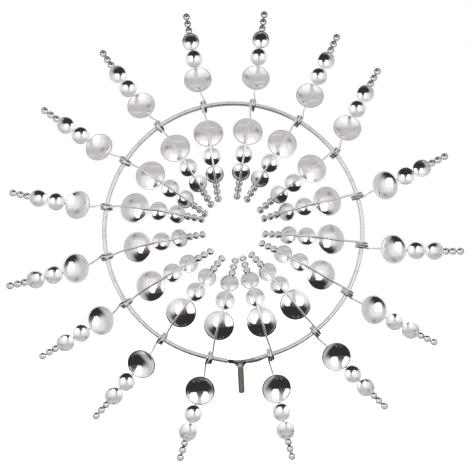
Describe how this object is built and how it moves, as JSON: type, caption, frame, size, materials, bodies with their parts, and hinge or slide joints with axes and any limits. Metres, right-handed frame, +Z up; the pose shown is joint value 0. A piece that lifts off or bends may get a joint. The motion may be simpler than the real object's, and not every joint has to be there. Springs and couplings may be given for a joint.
{
  "type": "wind spinner",
  "caption": "Metal garden wind spinner: a round hoop on a plug-in stem, with S-shaped wands of chrome cups threaded on it, each free to spin.",
  "frame": {"origin": "middle of the stem's lower end, where it plugs into a stake or a stand", "axes": "+Z up along the stem, -Y the front that the outer cups face, +X to the right as seen from the front"},
  "size_m": [0.2978, 0.0415, 0.2975],
  "materials": {
    "bowl_chrome": "mirror-bright stamped cups",
    "wand_wire": "bright drawn wire, with small cups of the same metal",
    "hoop_steel": "polished tube",
    "stem_steel": "dull rod with a heat-browned weld"
  },
  "bodies": {
    "frame": {"hoop": "hoop_steel", "stem_fitting": "stem_steel"},
    "wand_01": {"wand_01": "wand_wire", "outer_big_bowl_01": "bowl_chrome", "inner_big_bowl_01": "bowl_chrome"},
    "wand_02": {"wand_02": "wand_wire", "outer_big_bowl_02": "bowl_chrome", "inner_big_bowl_02": "bowl_chrome"},
    "wand_03": {"wand_03": "wand_wire", "outer_big_bowl_03": "bowl_chrome", "inner_big_bowl_03": "bowl_chrome"},
    "wand_04": {"wand_04": "wand_wire", "outer_big_bowl_04": "bowl_chrome", "inner_big_bowl_04": "bowl_chrome"},
    "wand_05": {"wand_05": "wand_wire", "outer_big_bowl_05": "bowl_chrome", "inner_big_bowl_05": "bowl_chrome"},
    "wand_06": {"wand_06": "wand_wire", "outer_big_bowl_06": "bowl_chrome", "inner_big_bowl_06": "bowl_chrome"},
    "wand_07": {"wand_07": "wand_wire", "outer_big_bowl_07": "bowl_chrome", "inner_big_bowl_07": "bowl_chrome"},
    "wand_08": {"wand_08": "wand_wire", "outer_big_bowl_08": "bowl_chrome", "inner_big_bowl_08": "bowl_chrome"},
    "wand_09": {"wand_09": "wand_wire", "outer_big_bowl_09": "bowl_chrome", "inner_big_bowl_09": "bowl_chrome"},
    "wand_10": {"wand_10": "wand_wire", "outer_big_bowl_10": "bowl_chrome", "inner_big_bowl_10": "bowl_chrome"},
    "wand_11": {"wand_11": "wand_wire", "outer_big_bowl_11": "bowl_chrome", "inner_big_bowl_11": "bowl_chrome"},
    "wand_12": {"wand_12": "wand_wire", "outer_big_bowl_12": "bowl_chrome", "inner_big_bowl_12": "bowl_chrome"},
    "wand_13": {"wand_13": "wand_wire", "outer_big_bowl_13": "bowl_chrome", "inner_big_bowl_13": "bowl_chrome"},
    "wand_14": {"wand_14": "wand_wire", "outer_big_bowl_14": "bowl_chrome", "inner_big_bowl_14": "bowl_chrome"},
    "wand_15": {"wand_15": "wand_wire", "outer_big_bowl_15": "bowl_chrome", "inner_big_bowl_15": "bowl_chrome"},
    "wand_16": {"wand_16": "wand_wire", "outer_big_bowl_16": "bowl_chrome", "inner_big_bowl_16": "bowl_chrome"}
  },
  "joints": [
    {"name": "wand_01_spin", "type": "hinge", "parent": "frame", "child": "wand_01", "pos_m": [0.0193, 0, 0.02303], "axis": [-0.981, 0, -0.1942], "continuous": true},
    {"name": "wand_02_spin", "type": "hinge", "parent": "frame", "child": "wand_02", "pos_m": [0.049, 0, 0.03646], "axis": [-0.7778, 0, -0.6285], "continuous": true},
    {"name": "wand_03_spin", "type": "hinge", "parent": "frame", "child": "wand_03", "pos_m": [0.07141, 0, 0.06012], "axis": [-0.5346, 0, -0.8451], "continuous": true},
    {"name": "wand_04_spin", "type": "hinge", "parent": "frame", "child": "wand_04", "pos_m": [0.0832, 0, 0.09051], "axis": [-0.1319, 0, -0.9913], "continuous": true},
    {"name": "wand_05_spin", "type": "hinge", "parent": "frame", "child": "wand_05", "pos_m": [0.0826, 0, 0.1231], "axis": [0.2867, 0, -0.958], "continuous": true},
    {"name": "wand_06_spin", "type": "hinge", "parent": "frame", "child": "wand_06", "pos_m": [0.06972, 0, 0.15304], "axis": [0.7361, 0, -0.6769], "continuous": true},
    {"name": "wand_07_spin", "type": "hinge", "parent": "frame", "child": "wand_07", "pos_m": [0.04647, 0, 0.17588], "axis": [0.8539, 0, -0.5204], "continuous": true},
    {"name": "wand_08_spin", "type": "hinge", "parent": "frame", "child": "wand_08", "pos_m": [0.0163, 0, 0.18821], "axis": [0.9812, 0, -0.1929], "continuous": true},
    {"name": "wand_09_spin", "type": "hinge", "parent": "frame", "child": "wand_09", "pos_m": [-0.0163, 0, 0.18821], "axis": [0.9923, 0, 0.1239], "continuous": true},
    {"name": "wand_10_spin", "type": "hinge", "parent": "frame", "child": "wand_10", "pos_m": [-0.04647, 0, 0.17588], "axis": [0.8447, 0, 0.5352], "continuous": true},
    {"name": "wand_11_spin", "type": "hinge", "parent": "frame", "child": "wand_11", "pos_m": [-0.06972, 0, 0.15304], "axis": [0.5864, 0, 0.81], "continuous": true},
    {"name": "wand_12_spin", "type": "hinge", "parent": "frame", "child": "wand_12", "pos_m": [-0.0826, 0, 0.1231], "axis": [0.2021, 0, 0.9794], "continuous": true},
    {"name": "wand_13_spin", "type": "hinge", "parent": "frame", "child": "wand_13", "pos_m": [-0.0832, 0, 0.09051], "axis": [-0.2093, 0, 0.9779], "continuous": true},
    {"name": "wand_14_spin", "type": "hinge", "parent": "frame", "child": "wand_14", "pos_m": [-0.07141, 0, 0.06012], "axis": [-0.4821, 0, 0.8761], "continuous": true},
    {"name": "wand_15_spin", "type": "hinge", "parent": "frame", "child": "wand_15", "pos_m": [-0.049, 0, 0.03646], "axis": [-0.7496, 0, 0.6618], "continuous": true},
    {"name": "wand_16_spin", "type": "hinge", "parent": "frame", "child": "wand_16", "pos_m": [-0.0193, 0, 0.02303], "axis": [-0.95, 0, 0.3123], "continuous": true}
  ]
}
